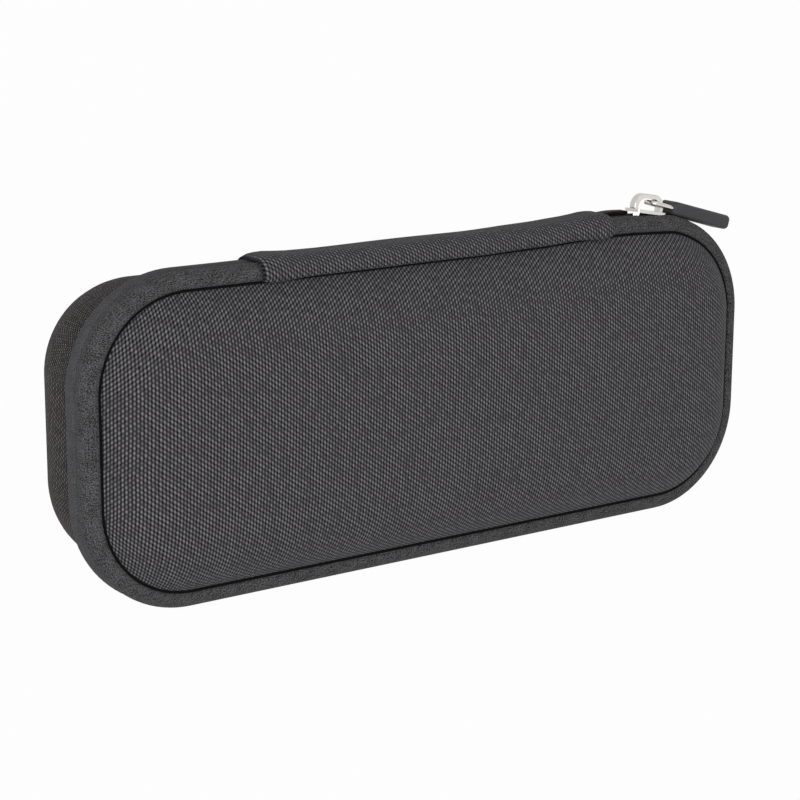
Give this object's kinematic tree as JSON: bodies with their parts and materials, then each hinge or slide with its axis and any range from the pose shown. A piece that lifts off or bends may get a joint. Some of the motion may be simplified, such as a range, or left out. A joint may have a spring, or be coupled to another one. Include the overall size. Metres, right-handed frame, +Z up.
{
  "type": "microphone case",
  "caption": "Zippered moulded foam case for a hand-held microphone, covered in woven cloth, with a cloth-hinged lid, shaped foam nests and a metal zip slider with a rubber pull.",
  "frame": {"origin": "middle of the flat back face that the closed case lies on", "axes": "+X along the length, towards the zip slider's end; +Y across, towards the cloth hinge; +Z up, out of the lid"},
  "size_m": [0.235, 0.1015, 0.0595],
  "materials": {
    "woven_polyester": "coarse plain weave, matt",
    "moulded_eva": "pressed foam, matt",
    "brushed_lining": "brushed knit, matt",
    "binding_tape": "ribbed tape, matt",
    "sponge_foam": "open-cell sponge, matt",
    "knitted_tape": "herringbone knit, matt",
    "nylon_coil": "moulded nylon, satin",
    "coated_tape": "coated, satin",
    "polished_nickel": "polished nickel plate",
    "soft_rubber": "soft matt rubber"
  },
  "bodies": {
    "base": {"base_cover": "woven_polyester", "base_shell": "moulded_eva", "base_lining": "brushed_lining", "base_edge_binding": "binding_tape", "base_foam": "sponge_foam", "base_zip_tape": "knitted_tape", "base_zip_coil": "nylon_coil", "spine_strip": "woven_polyester", "spine_lining": "brushed_lining", "zip_end_tab": "coated_tape"},
    "lid": {"lid_cover": "woven_polyester", "lid_shell": "moulded_eva", "lid_lining": "brushed_lining", "lid_edge_binding": "binding_tape", "lid_foam": "sponge_foam", "lid_zip_tape": "knitted_tape", "lid_zip_coil": "nylon_coil"},
    "slider": {"slider_body": "polished_nickel", "slider_crown": "polished_nickel"},
    "pull": {"pull_bail": "polished_nickel", "pull_grip": "soft_rubber"}
  },
  "joints": [
    {"name": "lid_hinge", "type": "hinge", "parent": "base", "child": "lid", "pos_m": [0, 0.049, 0.0425], "axis": [-1, 0, 0], "range_deg": [0, 180], "deforming": ["spine_strip", "spine_lining", "lid_zip_tape", "lid_zip_coil"]},
    {"name": "zip_travel", "type": "hinge", "parent": "base", "child": "slider", "pos_m": [0.0855, 0.015, 0.0425], "axis": [0, 0, -1], "range_deg": [0, 70], "deforming": ["base_zip_tape", "base_zip_coil"]},
    {"name": "pull_swing", "type": "hinge", "parent": "slider", "child": "pull", "pos_m": [0.08319, 0.05139, 0.0425], "axis": [0, 0, 1], "range_deg": [0, 190]}
  ]
}
